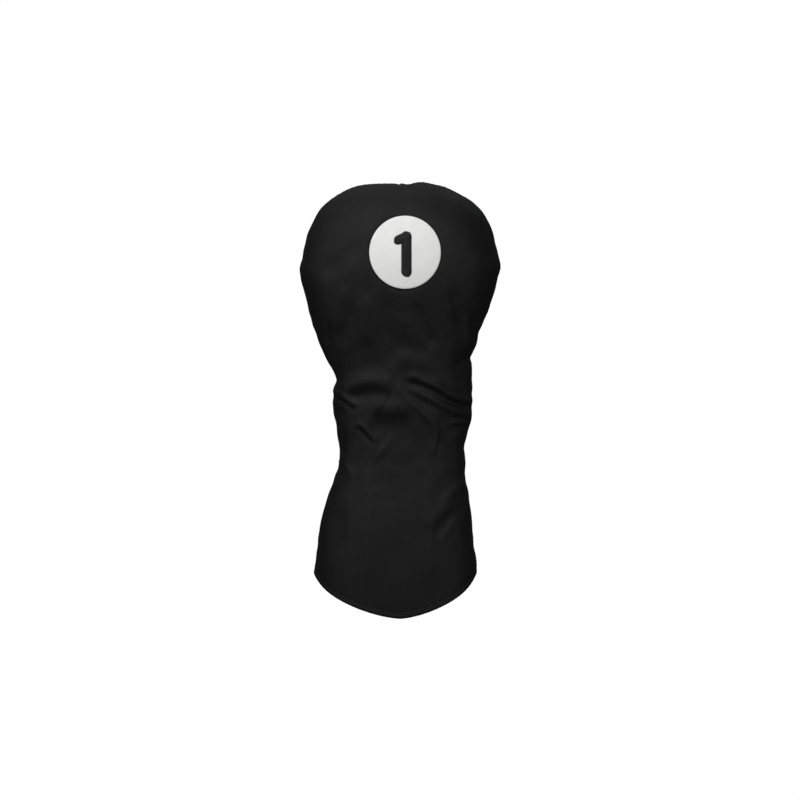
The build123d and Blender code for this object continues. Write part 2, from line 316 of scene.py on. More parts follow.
def crown_folds():
    """Broad falls of cloth on the crown, under and beside the badge."""
    d = ridge([(-25, 256), (-27, 236), (-24, 208)], 1.7, 6.0, 0.3)
    d += ridge([(-8, 256), (-9, 232), (-4, 200), (-2, 190)], -1.9, 4.5, 0.25)
    d += ridge([(2, 240), (8, 222), (16, 206)], 1.2, 6.0, 0.3)
    d += tuck([(-8, 207), (8, 207), (26, 202)], -1.1, 9.0, 0.25)
    d += ridge([(10, 248), (18, 228), (29, 208)], -1.7, 4.5, 0.25)
    d += ridge([(32, 268), (37, 248), (43, 228)], 1.1, 4.0, 0.3)
    d += ridge([(39, 258), (46, 238), (50, 220)], -1.3, 5.0, 0.3)
    d += ridge([(50, 238), (53, 222), (56, 208)], 1.0, 2.8, 0.3)
    d += ridge([(-54, 232), (-56, 222), (-57, 212)], -0.8, 3.0, 0.3)
    d += ridge([(-26, 296), (-44, 280), (-64, 264)], -1.5, 7.0, 0.3)
    d += ridge([(-40, 262), (-48, 240), (-51, 220)], 1.0, 5.0, 0.3)
    d += ridge([(-34, 246), (-42, 226), (-46, 208)], -1.2, 6.0, 0.3)
    d += ridge([(55, 206), (47, 198), (38, 191)], -1.2, 5.0, 0.3)
    d += ridge([(3, 341), (0, 328), (1, 312)], -1.5, 8.0, 0.2)
    return d


def back_gathers():
    """The back panel, drawn up into small pleats over each elastic."""
    d = np.zeros(X.shape)
    for (low, high), phase in ((UPPER_ELASTIC, 0.0), (LOWER_ELASTIC, 1.3)):
        middle, half = (low + high) / 2, (high - low) / 2
        sway = 0.25 * np.sin(Z / 9 + 3 * phase)
        pleats = np.sin(X * 0.62 + 1.1 * np.sin(X * 0.17 + phase) + sway)
        reach = np.abs(Z - middle)
        d += 1.15 * pleats * bell(np.maximum(reach - half, 0), 13)
        d += 1.1 * bell(reach, half * 1.7) * -1
        fan = np.sin(X * 0.31 + phase + 0.6 * np.sin(X * 0.11))
        d += 0.9 * fan * bell(np.maximum(reach - half - 8, 0), 18)
    return d


def waves(seed, count, short, long):
    """Uneven waves, the same each run, from -1 to 1 or so."""
    chance = np.random.default_rng(seed)
    total = np.zeros(X.shape)
    for _ in range(count):
        direction = chance.normal(size=3)
        direction /= np.linalg.norm(direction)
        length = math.exp(chance.uniform(math.log(short), math.log(long)))
        place = (X * direction[0] + 1.4 * Y * direction[1] + Z * direction[2]) / length
        total += np.sin(2 * math.pi * place + chance.uniform(0, 2 * math.pi))
    return total / math.sqrt(count)


def crumple():
    """Faint creases and swells that any thin nylon takes, strongest at the neck."""
    neck = bell(Z - 155, 55)
    swell = waves(3, 9, 34, 80)
    mid = waves(5, 9, 12, 26)
    crease = np.exp(-np.abs(waves(11, 7, 40, 90)) / 0.06) * ease(waves(13, 5, 40, 80) + 0.3)
    fine = np.exp(-np.abs(waves(17, 7, 18, 40)) / 0.10) * ease(waves(19, 5, 25, 60))
    soft = (0.35 + 0.4 * neck) * swell + (0.05 + 0.2 * neck) * mid
    return soft - (0.04 + 0.22 * neck) * crease - (0.02 + 0.18 * neck) * fine


def seam_shape():
    """The seam's groove, with the puckers that its stitches draw into the cloth beside it."""
    beside = np.abs(Y)
    sides = np.sin(Z * 0.42 + 1.5 * np.sin(Z * 0.11)) + 0.6 * np.sin(Z * 0.27 + 2.0)
    over = np.sin(X * 1.5 + 1.2 * np.sin(X * 0.31)) * (1 + 0.6 * np.sin(X * 0.37 + 1.0))
    top = ease((Z - 318) / 14)
    d = (0.14 + 0.1 * bell(Z - 170, 40)) * sides * bell(beside - 3.0, 3.5) * (1 - top)
    d += 0.17 * over * bell(beside - 5.5, 3.5) * top
    d -= 0.75 * bell(beside, 0.9)
    d += 0.25 * bell(beside - 2.6, 1.8)
    return d


def crown_top():
    """The pucker at the crown's top, where a tack pulls the seam in, and the rise to its right."""
    at_top = ease((Z - 325) / 8)
    d = -1.9 * bell(X - 6.5, 2.6) * bell(Y, 9) * at_top
    d += -0.9 * bell(X + 1.0, 1.6) * bell(Y, 6) * at_top
    d += 1.1 * bell(X - 17, 6.0) * bell(Y, 12) * at_top
    d += -0.5 * bell(X - 30, 5.0) * bell(Y, 12) * at_top
    return d


def hem_shape():
    """The hem's edge: a low roll between the edge and the topstitching, which sinks into the cloth."""
    above = Z - hem_rise(ANGLE)
    d = -0.35 * bell(above - TOPSTITCH, 0.9)
    d += 0.12 * bell(above - TOPSTITCH / 2, 1.6)
    d += 0.12 * np.sin(ANGLE * 58 + 2 * np.sin(ANGLE * 7)) * bell(above - TOPSTITCH, 4.0)
    return d


def relief():
    """How far the cloth stands off the plain form, everywhere."""
    toward_front = ease(-Y / 6)
    toward_back = ease(Y / 6)
    top_fade = ease((337 - Z) / 12)
    d = (front_folds() + sleeve_folds() + crown_folds()) * toward_front
    d += back_gathers() * toward_back
    d += crumple() * top_fade * (0.35 + 0.65 * ease(np.abs(Y) / 5))
    beyond_badge = np.hypot((X - BADGE_X) / BADGE_HALF_WIDTH, (Z - BADGE_Z) / BADGE_HALF_HEIGHT)
    d *= np.where(FRONT, ease((beyond_badge - 0.9) / 0.45), 1.0)
    d -= np.where(FRONT, 0.7 * bell(beyond_badge - 1.02, 0.045), 0.0)
    d += seam_shape() + crown_top() + hem_shape()
    d[:, -1] = d[:, 0]
    d[-1] = d[-1, :-1].mean()
    return d


RELIEF = relief()


def lowered(d, reach, blurs):
    """The relief at its lowest nearby, smoothed: an inner layer that follows it can't come through."""
    low = d.copy()
    for _ in range(reach):
        ring = low[:, :-1]
        around = np.minimum(np.roll(ring, 1, axis=1), np.roll(ring, -1, axis=1))
        rows = np.minimum(np.vstack([low[:1], low[:-1]]), np.vstack([low[1:], low[-1:]]))
        low[:, :-1] = np.minimum(np.minimum(ring, around), rows[:, :-1])
        low[:, -1] = low[:, 0]
    for _ in range(blurs):
        ring = low[:, :-1]
        side = (np.roll(ring, 1, axis=1) + np.roll(ring, -1, axis=1)) / 2
        rows = (np.vstack([low[:1], low[:-1]]) + np.vstack([low[1:], low[-1:]])) / 2
        low[:, :-1] = (ring + side + 2 * rows[:, :-1]) / 4
        low[:, -1] = low[:, 0]
    return low


CALM = lowered(RELIEF, 4, 4)
CALM[-1] = CALM[-1].min()


def layer(inset, d=RELIEF):
    """The whole grid at an inset under the cloth."""
    return BASE + (d - inset)[..., None] * OUTWARD


# ---- Meshes ----


def cloth_map():
    """Lengths in metres along the weft and the warp, for each place on the grid."""
    outer = layer(0.0)
    warp = np.cumsum(np.linalg.norm(np.diff(outer, axis=0, prepend=outer[:1]), axis=-1), axis=0)
    weft = np.cumsum(np.linalg.norm(np.diff(BASE, axis=1, prepend=BASE[:, :1]), axis=-1), axis=1)
    return np.stack([weft * UNIT, warp * UNIT], axis=-1)


CLOTH_MAP = cloth_map()


def new_object(name, verts, faces, uvs):
    """A smooth piece with doubled vertices merged and faces turned outward."""
    mesh = bpy.data.meshes.new(name)
    mesh.from_pydata((np.asarray(verts) * UNIT).tolist(), [], faces)
    layer_uv = mesh.uv_layers.new(name="cloth")
    index = np.empty(len(mesh.loops), dtype=np.int32)
    mesh.loops.foreach_get("vertex_index", index)
    layer_uv.data.foreach_set("uv", np.asarray(uvs)[index].astype(np.float32).ravel())
    made = bmesh.new()
    made.from_mesh(mesh)
    bmesh.ops.remove_doubles(made, verts=made.verts, dist=1e-6)
    bmesh.ops.dissolve_degenerate(made, edges=made.edges, dist=1e-7)
    bmesh.ops.recalc_face_normals(made, faces=made.faces)
    made.to_mesh(mesh)
    made.free()
    mesh.polygons.foreach_set("use_smooth", [True] * len(mesh.polygons))
    obj = bpy.data.objects.new(name, mesh)
    bpy.context.scene.collection.objects.link(obj)
    return obj


def grid_faces(rows, columns, start=0, flip=False):
    """The faces of a grid whose first vertex is number start."""
    index = np.arange(rows * columns).reshape(rows, columns) + start
    corners = [index[:-1, :-1], index[:-1, 1:], index[1:, 1:], index[1:, :-1]]
    quads = np.stack(corners, axis=-1).reshape(-1, 4)
    return (quads[:, ::-1] if flip else quads).tolist()


def rim_faces(first, second):
    """The faces between two rows of vertices."""
    return [[a, b, d, c] for a, b, c, d in zip(first, first[1:], second, second[1:])]


def closed_layer(name, outer, inner, uvs, top_open, roll=0.0):
    """A closed piece between two grids; roll rounds its lowest edge down by that much."""
    rows, columns = outer.shape[:2]
    size = rows * columns
    index = np.arange(size).reshape(rows, columns)
    verts = np.vstack([outer.reshape(-1, 3), inner.reshape(-1, 3)])
    uv = np.vstack([uvs.reshape(-1, 2)] * 2)
    faces = grid_faces(rows, columns) + grid_faces(rows, columns, size, flip=True)
    if roll:
        edge = (outer[0] + inner[0]) / 2
        edge[:, 2] -= roll
        verts = np.vstack([verts, edge])
        uv = np.vstack([uv, uvs[0]])
        middle = list(range(2 * size, 2 * size + columns))
        faces += rim_faces(index[0].tolist(), middle) + rim_faces(middle, (index[0] + size).tolist())
        for column in (0, -1):
            faces.append([int(index[0, column]), middle[column], int(index[0, column]) + size])
    else:
        faces += rim_faces(index[0].tolist(), (index[0] + size).tolist())
    if top_open:
        faces += rim_faces(index[-1].tolist(), (index[-1] + size).tolist())
    for column in (0, -1):
        faces += rim_faces(index[:, column].tolist(), (index[:, column] + size).tolist())
    return new_object(name, verts, faces, uv)


def half(side, stride=1, gap=0):
    """The columns of the front or the back half, both seams included, less a gap of columns at each."""
    middle = COLUMNS // 2
    first, last = (middle, COLUMNS) if side == "front" else (0, middle)
    return np.unique(np.append(np.arange(first + gap, last - gap, stride), last - gap))


def band(low, high, stride=1):
    """Rows whose plain level lies between two heights, ends included."""
    level = LEVEL[:, 0]
    chosen = np.where((level >= low) & (level <= high))[0]
    return np.unique(np.append(chosen[::stride], chosen[-1]))


def pick(grid, rows, columns):
    """Some rows and columns of a grid."""
    return grid[np.ix_(rows, columns)]


def between(name, rows, columns, inset, thickness, d=RELIEF, top_open=True, roll=0.0):
    """A closed piece of one thickness under the cloth, over some rows and columns."""
    outer = pick(layer(inset, d), rows, columns)
    inner = pick(layer(inset + thickness, d), rows, columns)
    return closed_layer(name, outer, inner, pick(CLOTH_MAP, rows, columns), top_open, roll)


def tube_rings(path, radius, sides, outward):
    """Rings of points round a path, narrow at both ends."""
    path = np.asarray(path, float)
    along = np.gradient(path, axis=0)
    along /= np.maximum(np.linalg.norm(along, axis=1, keepdims=True), 1e-9)
    side = np.cross(along, np.broadcast_to(np.asarray(outward, float), path.shape))
    side /= np.maximum(np.linalg.norm(side, axis=1, keepdims=True), 1e-9)
    lift = np.cross(side, along)
    radii = np.full(len(path), radius)
    radii[0] = radii[-1] = radius * 0.35
    turns = np.arange(sides) * 2 * math.pi / sides
    across = np.cos(turns)[None, :, None] * side[:, None]
    raised = np.sin(turns)[None, :, None] * lift[:, None]
    return path[:, None] + radii[:, None, None] * (across + raised)


def thread_object(name, paths, radius, sides=6):
    """Many short lengths of thread as one piece; each is (points, outward direction)."""
    verts, faces, start = [], [], 0
    for path, outward in paths:
        rings = tube_rings(path, radius, sides, outward)
        count = len(path)
        verts.append(rings.reshape(-1, 3))
        for ring in range(count - 1):
            a, b = start + ring * sides, start + (ring + 1) * sides
            faces += [[a + k, a + (k + 1) % sides, b + (k + 1) % sides, b + k] for k in range(sides)]
        faces.append([start + k for k in reversed(range(sides))])
        faces.append([start + (count - 1) * sides + k for k in range(sides)])
        start += count * sides
    verts = np.vstack(verts)
    return new_object(name, verts, faces, verts[:, [0, 2]] * UNIT)


# ---- The cloth pieces ----


def panels():
    """The two nylon panels, which meet at the side seams and over the crown."""
    whole = np.arange(ROWS)
    made = []
    for side in ("front", "back"):
        name = f"{side}_panel_cloth"
        piece = between(name, whole, half(side), 0.0, SHELL, top_open=False, roll=HEM_ROLL)
        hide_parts(f"{side}_panel")
        made.append(piece)
    return made


def paddings():
    """The foam behind each panel, in the crown."""
    rows = band(PADDING_LOW, TALL, 3)
    made = []
    for side in ("front", "back"):
        name = f"{side}_padding_foam"
        piece = between(name, rows, half(side, 3, 1), PADDING_INSET, PADDING, CALM, False)
        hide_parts(f"{side}_padding")
        made.append(piece)
    return made


def lining_inset():
    """Depth of the fleece's outer face: against the sleeve, then stepping in under the foam."""
    step = ease((LEVEL - (PADDING_LOW - 6)) / 5)
    return SLEEVE_LINING_INSET + (CROWN_LINING_INSET - SLEEVE_LINING_INSET) * step


def linings():
    """The fleece, from above the hem to the crown's top, a little uneven on its inside."""
    fleece = CALM + 0.12 * waves(23, 9, 4, 9)
    fleece = np.minimum(fleece, CALM)
    fleece[:, -1] = fleece[:, 0]
    fleece[-1] = fleece[-1, 0]
    made = []
    for side in ("front", "back"):
        rows, columns = band(LINING_ABOVE_HEM * 1.05, TALL, 2), half(side, 2, 1)
        outer = pick(layer(lining_inset(), CALM), rows, columns)
        inner = pick(layer(lining_inset() + LINING, fleece), rows, columns)
        uvs = pick(CLOTH_MAP, rows, columns)
        piece = closed_layer(f"{side}_lining_fleece", outer, inner, uvs, False)
        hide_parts(f"{side}_lining")
        made.append(piece)
    return made


def facings():
    """The nylon strips behind the hem."""
    made = []
    for side in ("front", "back"):
        rows = band(0.4, FACING_WIDTH, 1)
        piece = between(f"{side}_hem_facing_strip", rows, half(side, 1, 1), FACING_INSET, FACING)
        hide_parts(f"{side}_hem_facing")
        made.append(piece)
    return made


def elastics():
    """The two flat elastics behind the back panel."""
    made = []
    for name, (low, high) in (("upper", UPPER_ELASTIC), ("lower", LOWER_ELASTIC)):
        rows = band(low, high, 1)
        piece = between(f"{name}_elastic_band", rows, half("back", 1, 2), ELASTIC_INSET, ELASTIC)
        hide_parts(f"{name}_neck_elastic")
        made.append(piece)
    return made


# ---- Threads ----


def on_grid(grid, rows, columns):
    """Values of a grid at fractional rows and columns."""
    rows, columns = np.asarray(rows, float), np.asarray(columns, float)
    r = np.clip(rows.astype(int), 0, grid.shape[0] - 2)
    c = np.clip(columns.astype(int), 0, grid.shape[1] - 2)
    fr, fc = (rows - r)[:, None], (columns - c)[:, None]
    low = grid[r, c] * (1 - fc) + grid[r, c + 1] * fc
    high = grid[r + 1, c] * (1 - fc) + grid[r + 1, c + 1] * fc
    return low * (1 - fr) + high * fr


def row_of(level):
    """The fractional row at a plain level."""
    return np.interp(level, LEVEL[:, 0], np.arange(ROWS))


def hem_line(side, above, margin=1.0):
    """Fractional rows and columns that follow the hem at a height above it, along one panel."""
    chosen = half(side)
    columns = np.linspace(chosen[0] + margin, chosen[-1] - margin, HEM_SAMPLES)
    rise = hem_rise(columns * 2 * math.pi / COLUMNS)
    return row_of(above * LEVEL_FROM / (LEVEL_FROM - rise)), columns


def running(rows, columns):
    """Topstitches over the cloth along a path on the grid, each arched between its holes."""
    surface = on_grid(layer(0.0), rows, columns)
    outward = on_grid(OUTWARD, rows, columns)
    run = np.concatenate([[0], np.cumsum(np.linalg.norm(np.diff(surface, axis=0), axis=1))])
    made = []
    drops = np.array([1.0, 0.35, 0.0, 0.0, 0.35, 1.0])
    heights = TOPSTITCH_LIFT - (TOPSTITCH_LIFT + TOPSTITCH_SINK) * drops
    for step in range(int((run[-1] - TOPSTITCH_LENGTH) / TOPSTITCH_PITCH)):
        start = 0.5 * TOPSTITCH_PITCH + step * TOPSTITCH_PITCH
        places = start + TOPSTITCH_LENGTH * np.array([0.0, 0.12, 0.35, 0.65, 0.88, 1.0])
        points = np.column_stack([np.interp(places, run, surface[:, k]) for k in range(3)])
        up = np.column_stack([np.interp(places, run, outward[:, k]) for k in range(3)])
        made.append((points + up * heights[:, None], up[2]))
    return made


def topstitches():
    """The row of stitches along each panel's hem."""
    made = []
    for side in ("front", "back"):
        rows, columns = hem_line(side, TOPSTITCH, 1.5)
        paths = running(rows, columns)
        piece = thread_object(f"{side}_hem_stitches", paths, TOPSTITCH_RADIUS, 8)
        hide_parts(f"{side}_hem_topstitch")
        made.append(piece)
    return made


def lining_hem_stitches():
    """The row that holds the fleece to the facings, on the fleece's inside."""
    inward = SLEEVE_LINING_INSET + LINING
    paths = []
    for side in ("front", "back"):
        rows, columns = hem_line(side, LINING_ABOVE_HEM + 3, 3)
        surface = on_grid(layer(inward + 0.15, CALM), rows, columns)
        for step in range(8, HEM_SAMPLES - 10, LINING_STITCH_EVERY):
            stitch = surface[step:step + LINING_STITCH_SPAN:LINING_STITCH_STEP]
            paths.append((stitch, (0, 0, 1)))
    piece = thread_object("lining_hem_stitches", paths, LINING_HEM_RADIUS)
    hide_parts("lining_hem_thread")
    return [piece]


def seam_rows(name, node, inset, d, low, high):
    """Stitches along both side seams and over the crown at an inset."""
    grid = layer(inset, d)
    paths = []
    for column in (0, COLUMNS // 2):
        for start in np.arange(row_of(low), row_of(high), SEAM_PITCH):
            rows = start + np.array([0.0, 0.8, 1.6, 2.4])
            points = on_grid(grid, rows, np.full(len(rows), float(column)))
            paths.append((points, (0, 1, 0)))
    piece = thread_object(name, paths, SEAM_RADIUS, 5)
    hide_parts(node)
    return piece


def hidden_seams():
    """The threads of the panels' seam, and of the fleece's seam in the crown."""
    made = [seam_rows("shell_seam_stitches", "shell_seam_thread", SHELL_SEAM_INSET, RELIEF, 3, 336)]
    inset = CROWN_LINING_INSET + LINING / 2
    made.append(seam_rows("lining_seam_stitches", "lining_seam_thread", inset, CALM, 204, 334))
    return made


def zigzags():
    """The zigzag rows over the back panel, along both edges of each elastic."""
    made = []
    last = COLUMNS // 2 - ZIGZAG_MARGIN
    columns = np.linspace(ZIGZAG_MARGIN, last, ZIGZAG_STITCHES + 1)
    share = np.array([0.0, 0.2, 0.5, 0.8, 1.0])
    lifts = np.array([-0.15, 0.16, 0.2, 0.16, -0.15])
    for name, edges_z in (("upper", UPPER_ELASTIC), ("lower", LOWER_ELASTIC)):
        paths = []
        for edge in edges_z:
            for step, (a, b) in enumerate(zip(columns, columns[1:])):
                swing = ZIGZAG_SWING if step % 2 else -ZIGZAG_SWING
                rows = row_of(edge - swing + 2 * swing * share)
                across = a + (b - a) * share
                up = on_grid(OUTWARD, rows, across)
                points = on_grid(layer(0.0), rows, across) + up * lifts[:, None]
                paths.append((points, up[2]))
        piece = thread_object(f"{name}_elastic_stitches", paths, ZIGZAG_RADIUS)
        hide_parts(f"{name}_elastic_zigzag")
        made.append(piece)
    return made


def tack():
    """The bundle of thread that ties the foam and the fleece to the crown's top."""
    top = layer(0.0)[-1, 0]
    paths = []
    for turn in range(TACK_THREADS):
        angle = turn * 2 * math.pi / TACK_THREADS
        x, y = TACK_REACH * math.cos(angle), TACK_REACH * math.sin(angle)
        points = [(top[0] + x, top[1] + y, top[2] - depth) for depth in TACK_DEPTHS]
        paths.append((points, (1, 0, 0)))
    piece = thread_object("crown_tack_thread", paths, TACK_RADIUS)
    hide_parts("crown_tack")
    return [piece]


# ---- Badge ----


def badge_surface(x, z, off):
    """Points on the crown's front at (x, z), standing off the plain form."""
    left, right = (np.interp(z, ROW_HEIGHTS, edge) for edge in (SOFT_LEFT, SOFT_RIGHT))
    middle, half_wide = (left + right) / 2, (right - left) / 2
    across = np.clip(np.abs(x - middle) / half_wide, 0, 0.999)
    depth = np.interp(z, ROW_HEIGHTS, DEPTHS) * (1 - across**2) ** (SECTION_POWER / 2)
    return np.stack([x, -depth - off, z], axis=-1)


def badge_layer(name, inset, low, high, bevel):
    """A round layer of the badge between two heights off the crown, with a rounded upper edge."""
    turns = np.linspace(0, 2 * math.pi, BADGE_SIDES + 1)[:-1]
    wide, tall = BADGE_HALF_WIDTH - inset, BADGE_HALF_HEIGHT - inset
    profile = [(share, high) for share in np.linspace(0.04, 1.0, 22)[:-1]]
    profile += [(1.0 - 0.012, high - 0.15 * bevel), (1.0 - 0.004, high - 0.5 * bevel)]
    profile += [(1.0, high - bevel), (1.0, low)]
    points = []
    for share, height in profile:
        x = BADGE_X + wide * share * np.cos(turns)
        z = BADGE_Z + tall * share * np.sin(turns)
        points.append(badge_surface(x, z, np.full(x.shape, height)))
    count = len(turns)
    middle_x, middle_z = np.array([BADGE_X]), np.array([BADGE_Z])
    verts = np.vstack(points + [badge_surface(middle_x, middle_z, np.array([high]))])
    faces = []
    for ring in range(len(points) - 1):
        a, b = ring * count, (ring + 1) * count
        faces += [[a + k, b + k, b + (k + 1) % count, a + (k + 1) % count] for k in range(count)]
    centre = len(verts) - 1
    faces += [[centre, k, (k + 1) % count] for k in range(count)]
    x = BADGE_X + wide * 0.5 * np.cos(turns)
    z = BADGE_Z + tall * 0.5 * np.sin(turns)
    inner = badge_surface(x, z, np.full(count, low))
    back_centre = badge_surface(middle_x, middle_z, np.array([low]))
    first = len(verts)
    verts = np.vstack([verts, inner, back_centre])
    outer = (len(points) - 1) * count
    faces += [[outer + k, first + k, first + (k + 1) % count, outer + (k + 1) % count] for k in range(count)]
    faces += [[first + count, first + (k + 1) % count, first + k] for k in range(count)]
    return new_object(name, verts, faces, verts[:, [0, 2]] * UNIT)


def satin(ends, half_width, lean, thick, off):
    """Satin stitches across a round-ended bar: each thread arches over the padding beneath it."""
    (x0, z0), (x1, z1) = ends
    length = math.hypot(x1 - x0, z1 - z0)
    ux, uz = (x1 - x0) / length, (z1 - z0) / length
    paths = []
    for s in np.arange(-half_width + SATIN_PITCH, length + half_width, SATIN_PITCH):
        beyond = max(-s, s - length, 0.0)
        reach = math.sqrt(max(half_width**2 - beyond**2, 0.0))
        if reach < SHORTEST_SATIN:
            continue
        t = np.linspace(-1, 1, 9)
        jitter = 0.06 * math.sin(s * 13.7)
        x = BADGE_X + x0 + ux * (s + lean * t) - uz * (reach + jitter) * t
        z = BADGE_Z + z0 + uz * (s + lean * t) + ux * (reach + jitter) * t
        rise = off + thick * (1 - np.abs(t) ** 2.6) * (0.45 + 0.55 * reach / half_width) - 0.12
        paths.append((badge_surface(x, z, rise), (0, -1, 0)))
    return paths


def numeral_pad(ends, half_width, off, thick):
    """The dense underlay of one bar: a low dome that the satin threads cover."""
    (x0, z0), (x1, z1) = ends
    length = math.hypot(x1 - x0, z1 - z0)
    ux, uz = (x1 - x0) / length, (z1 - z0) / length
    around = []
    for t in np.linspace(-math.pi / 2, math.pi / 2, 17):
        around.append((length + half_width * math.cos(t), half_width * math.sin(t)))
    for t in np.linspace(math.pi / 2, 3 * math.pi / 2, 17):
        around.append((half_width * math.cos(t), half_width * math.sin(t)))
    around = np.array(around)
    spine = np.column_stack([np.clip(around[:, 0], 0, length), np.zeros(len(around))])
    rings = []
    for share, height in ((1.0, -0.1), (0.97, 0.3), (0.8, 0.72), (0.5, 0.93), (0.15, 1.0), (0.0, 1.0)):
        flat = spine + (around - spine) * share
        x = BADGE_X + x0 + ux * flat[:, 0] - uz * flat[:, 1]
        z = BADGE_Z + z0 + uz * flat[:, 0] + ux * flat[:, 1]
        rings.append(badge_surface(x, z, np.full(len(x), off + thick * height - 0.1)))
    count = len(around)
    verts = np.vstack(rings)
    faces = []
    for ring in range(len(rings) - 1):
        a, b = ring * count, (ring + 1) * count
        faces += [[a + k, a + (k + 1) % count, b + (k + 1) % count, b + k] for k in range(count)]
    faces.append(list(range(count)))
    faces.append([len(verts) - count + k for k in reversed(range(count))])
    return verts, faces


STEM = ((1.1, -15.0), (1.1, 11.8))
FLAG = ((1.2, 12.3), (-5.0, 9.5))
STEM_HALF_WIDTH, FLAG_HALF_WIDTH = 4.35, 3.85


def badge():
    """The adhesive film, the white disc and the numeral 1 with its underlay."""
    film = badge_layer("badge_adhesive", 0.6, 0.0, FILM_HIGH, 0.02)
    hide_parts("badge_bond_film")
    disc = badge_layer("badge_face", 0.0, FILM_HIGH, BADGE_HIGH, 0.35)
    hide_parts("badge_disc")
    paths = satin(STEM, STEM_HALF_WIDTH, 0.35, 0.62, BADGE_HIGH)
    paths += satin(FLAG, FLAG_HALF_WIDTH, 0.3, 0.72, BADGE_HIGH + 0.06)
    thread = thread_object("numeral_satin_stitches", paths, SATIN_RADIUS)
    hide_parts("badge_numeral")
    verts, faces = [], []
    for ends, wide in ((STEM, STEM_HALF_WIDTH), (FLAG, FLAG_HALF_WIDTH)):
        v, f = numeral_pad(ends, wide - 0.15, BADGE_HIGH, 0.58)
        faces += [[i + sum(len(x) for x in verts) for i in face] for face in f]
        verts.append(v)
    verts = np.vstack(verts)
    pad = new_object("numeral_underlay", verts, faces, verts[:, [0, 2]] * UNIT)
    return film, disc, thread, pad


# ---- Materials ----


class Nodes:
    """A material's node tree, with short calls to add to it."""

    def __init__(self, name):
        self.material = bpy.data.materials.new(name)
        self.material.use_nodes = True
        self.tree = self.material.node_tree
        self.shader = self.tree.nodes["Principled BSDF"]

    def add(self, kind, values=None, **settings):
        node = self.tree.nodes.new(kind)
        for key, value in settings.items():
            setattr(node, key, value)
        for key, value in (values or {}).items():
            node.inputs[key].default_value = value
        return node

    def link(self, source, target):
        self.tree.links.new(source, target)

    def value(self, key, value):
        self.shader.inputs[key].default_value = value

    def math(self, operation, a, b=None):
        node = self.add("ShaderNodeMath", operation=operation)
        for place, item in enumerate((a, b)):
            if item is None:
                continue
            if isinstance(item, (int, float)):
                node.inputs[place].default_value = item
            else:
                self.link(item, node.inputs[place])
        return node.outputs[0]

    def ramp(self, source, stops):
        node = self.add("ShaderNodeValToRGB")
        while len(node.color_ramp.elements) < len(stops):
            node.color_ramp.elements.new(0.5)
        for element, (place, colour) in zip(node.color_ramp.elements, stops):
            element.position = place
            element.color = (*colour, 1)
        self.link(source, node.inputs["Fac"])
        return node.outputs["Color"]

    def noise(self, vector, scale, detail=3.0, roughness=0.55):
        node = self.add("ShaderNodeTexNoise", {"Scale": scale, "Detail": detail, "Roughness": roughness})
        self.link(vector, node.inputs["Vector"])
        return node.outputs["Fac"]

    def bump(self, height, strength, distance, below=None):
        node = self.add("ShaderNodeBump", {"Strength": strength, "Distance": distance})
        self.link(height, node.inputs["Height"])
        if below is not None:
            self.link(below, node.inputs["Normal"])
        return node.outputs["Normal"]

    def weave(self, uv, period):
        """Height of a plain weave of threads this far apart, in metres."""
        split = self.add("ShaderNodeSeparateXYZ")
        self.link(uv, split.inputs[0])
        turn = math.pi / period
        warp = self.math("SINE", self.math("MULTIPLY", split.outputs[0], turn))
        weft = self.math("SINE", self.math("MULTIPLY", split.outputs[1], turn))
        over = self.math("MULTIPLY", warp, weft)
        return self.math("ADD", self.math("ABSOLUTE", over), self.math("MULTIPLY", over, 0.35))


WEAVE_PERIOD, RIB_PERIOD = 0.00045, 0.0014  # metres


def nylon_material():
    """Black nylon with a fine plain weave and a faint crinkle."""
    n = Nodes("black_nylon_cloth")
    coords = n.add("ShaderNodeTexCoord").outputs
    here, uv = coords["Object"], coords["UV"]
    cloud = n.noise(here, 22, 4)
    colour = n.ramp(cloud, [(0.3, (0.0030, 0.0030, 0.0031)), (0.7, (0.0044, 0.0044, 0.0045))])
    n.link(colour, n.shader.inputs["Base Color"])
    rough = n.math("ADD", n.math("MULTIPLY", n.noise(here, 60, 4), 0.14), 0.46)
    n.link(rough, n.shader.inputs["Roughness"])
    n.value("Specular IOR Level", 0.21)
    crinkle = n.bump(n.noise(here, 110, 4, 0.5), 0.22, 0.0009)
    fine = n.bump(n.weave(uv, WEAVE_PERIOD), 0.40, 0.00012, crinkle)
    n.link(fine, n.shader.inputs["Normal"])
    return n.material


def thread_material(name, low, high, specular):
    """Twisted thread, between a darker and a lighter colour."""
    n = Nodes(name)
    here = n.add("ShaderNodeTexCoord").outputs["Object"]
    colour = n.ramp(n.noise(here, 900, 2), [(0.3, low), (0.7, high)])
    n.link(colour, n.shader.inputs["Base Color"])
    wave = n.add("ShaderNodeTexWave", {"Scale": 1400.0, "Distortion": 0.6})
    n.link(here, wave.inputs["Vector"])
    n.link(n.bump(wave.outputs["Fac"], 0.35, 0.00008), n.shader.inputs["Normal"])
    rough = n.math("ADD", n.math("MULTIPLY", n.noise(here, 300, 2), 0.15), 0.38)
    n.link(rough, n.shader.inputs["Roughness"])
    n.value("Specular IOR Level", specular)
    return n.material


